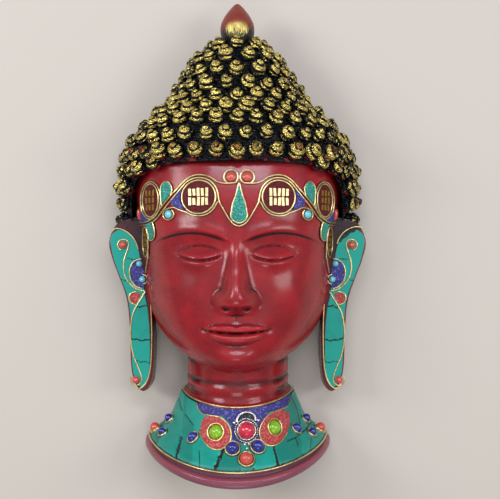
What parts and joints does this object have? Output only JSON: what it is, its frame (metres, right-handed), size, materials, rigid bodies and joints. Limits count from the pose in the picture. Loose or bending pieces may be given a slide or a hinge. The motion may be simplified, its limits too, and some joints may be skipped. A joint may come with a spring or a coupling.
{
  "type": "inlaid buddha wall mask",
  "caption": "Lacquered resin mask of a calm face with curled hair, inlaid stone collar, ear plates and forehead band, hollow behind, lying on its back.",
  "frame": {"origin": "middle of the mask's length and width, on the surface that its open back rests on", "axes": "+Y from the collar to the bud on the crown, +Z out of the face, +X to the mask's left ear"},
  "size_m": [0.1818, 0.324, 0.0882],
  "materials": {
    "lacquered_resin": "dark red lacquer with black patina in the hollows; black hair with rubbed gold tips; terracotta and gold bud",
    "turquoise": "polished veneer with dark grout joints",
    "turquoise_bead": "polished pale blue bead",
    "turquoise_chips": "crushed stone set in resin, matte",
    "lapis": "polished",
    "lapis_chips": "crushed stone set in resin, matte",
    "coral": "polished",
    "coral_chips": "crushed stone set in resin, matte",
    "rose_stone": "polished, faintly clouded",
    "green_stone": "polished, with dark flecks",
    "dark_enamel": "speckled dark red ground with pale gold strokes",
    "brass": "drawn wire, softly polished",
    "silver": "white metal, polished, dark in the hollows"
  },
  "bodies": {
    "root": {"mask_casting": "lacquered_resin", "ear_veneer_left": "turquoise", "ear_veneer_right": "turquoise", "ear_wire_left": "brass", "ear_wire_right": "brass", "ear_lapis_left": "lapis_chips", "ear_lapis_right": "lapis_chips", "ear_coral_fan_left": "coral_chips", "ear_coral_fan_right": "coral_chips", "ear_coral_bead_left": "coral", "ear_coral_bead_right": "coral", "lobe_coral_bead_left": "coral", "lobe_coral_bead_right": "coral", "ear_turquoise_upper_left": "turquoise_bead", "ear_turquoise_upper_right": "turquoise_bead", "ear_turquoise_lower_left": "turquoise_bead", "ear_turquoise_lower_right": "turquoise_bead", "coral_chip_ring_left": "coral_chips", "coral_chip_ring_right": "coral_chips", "green_cabochon_left": "green_stone", "green_cabochon_right": "green_stone", "lapis_cabochon_left": "lapis", "lapis_cabochon_right": "lapis", "small_lapis_left": "lapis", "small_lapis_right": "lapis", "shoulder_lapis_upper_left": "lapis", "shoulder_lapis_upper_right": "lapis", "shoulder_lapis_lower_left": "lapis", "shoulder_lapis_lower_right": "lapis", "shoulder_coral_left": "coral", "shoulder_coral_right": "coral", "medallion_front_left": "dark_enamel", "medallion_front_right": "dark_enamel", "medallion_temple_left": "dark_enamel", "medallion_temple_right": "dark_enamel", "medallion_low_left": "dark_enamel", "medallion_low_right": "dark_enamel", "turquoise_petal_upper_left": "turquoise_chips", "turquoise_petal_upper_right": "turquoise_chips", "turquoise_petal_lower_left": "turquoise_chips", "turquoise_petal_lower_right": "turquoise_chips", "lapis_triangle_upper_left": "lapis_chips", "lapis_triangle_upper_right": "lapis_chips", "lapis_triangle_lower_left": "lapis_chips", "lapis_triangle_lower_right": "lapis_chips", "brow_coral_bead_left": "coral", "brow_coral_bead_right": "coral", "brow_turquoise_bead_left": "turquoise_bead", "brow_turquoise_bead_right": "turquoise_bead", "temple_coral_bead_left": "coral", "temple_coral_bead_right": "coral", "collar_veneer": "turquoise", "collar_lapis_band": "lapis_chips", "middle_cabochon": "rose_stone", "coral_cabochon": "coral", "silver_crescent": "silver", "rim_wire": "brass", "neck_wire": "brass", "forehead_band_wire": "brass", "turquoise_teardrop": "turquoise_chips"}
  },
  "joints": []
}
